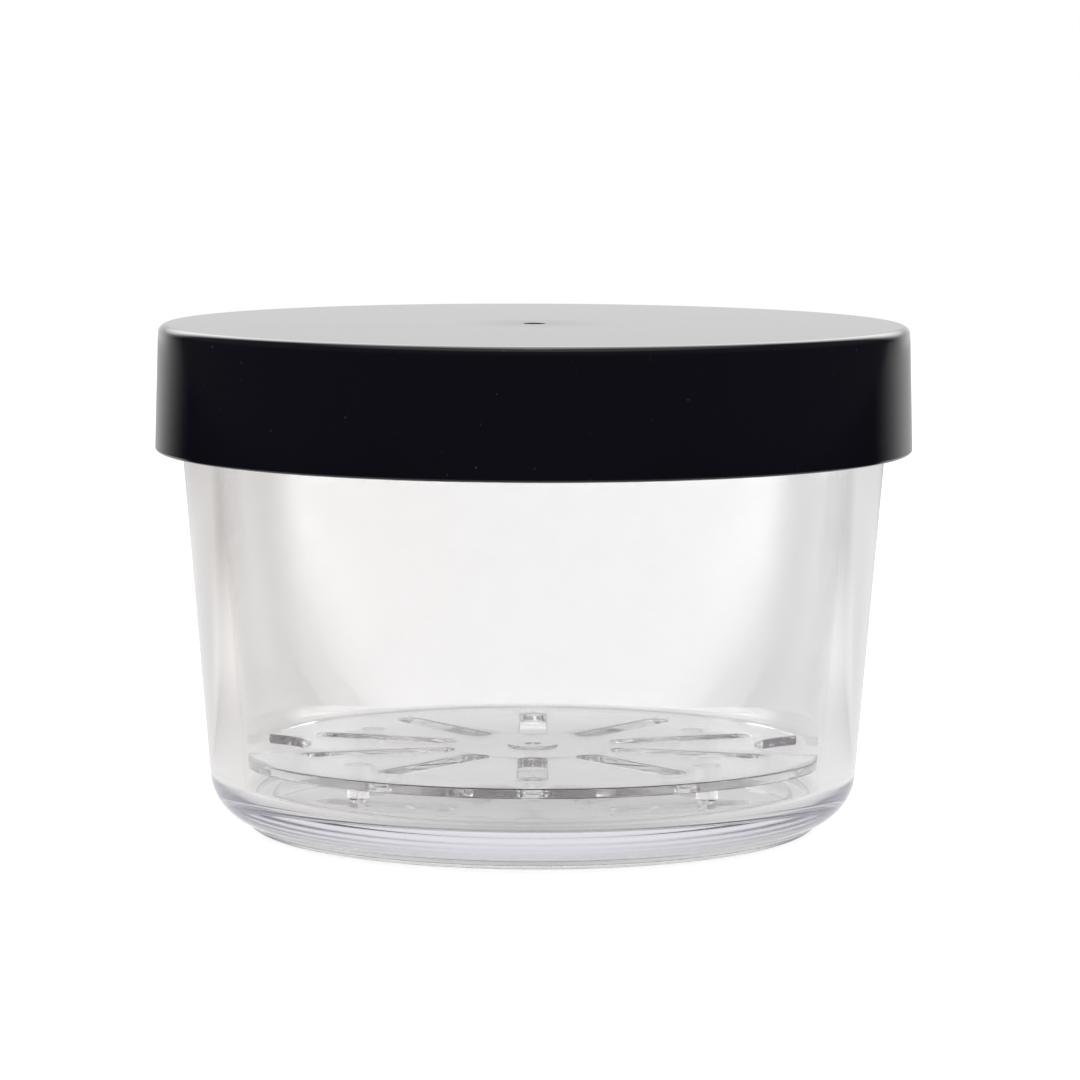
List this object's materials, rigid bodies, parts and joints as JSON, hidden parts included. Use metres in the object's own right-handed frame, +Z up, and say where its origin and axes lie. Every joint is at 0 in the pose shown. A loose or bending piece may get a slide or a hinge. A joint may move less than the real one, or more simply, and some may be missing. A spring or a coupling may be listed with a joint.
{
  "type": "food storage box",
  "caption": "Round food keeper: clear thick-walled tapered bowl, dark push-on lid with a soft sealing ring, and a clear slotted drain plate that lifts out.",
  "frame": {"origin": "centre of the foot ring, on the surface that the bowl stands on", "axes": "+Z up along the bowl's axis, +X through the drain plate's finger notches, -Y towards the viewer"},
  "size_m": [0.1098, 0.1098, 0.0731],
  "materials": {
    "bowl": "clear moulded plastic, polished, faint haze",
    "lid": "near-black navy moulded plastic, satin gloss",
    "seal": "soft milky silicone, matt",
    "plate": "clear moulded plastic, lightly frosted by use"
  },
  "bodies": {
    "bowl": {"bowl": "bowl"},
    "lid": {"lid": "lid", "lid_seal": "seal"},
    "drain_plate": {"drain_plate": "plate"}
  },
  "joints": [
    {"name": "lid_lift", "type": "slide", "parent": "bowl", "child": "lid", "axis": [0, 0, 1], "range_m": [0, 0.08]},
    {"name": "plate_lift", "type": "slide", "parent": "bowl", "child": "drain_plate", "axis": [0, 0, 1], "range_m": [0, 0.05]}
  ]
}
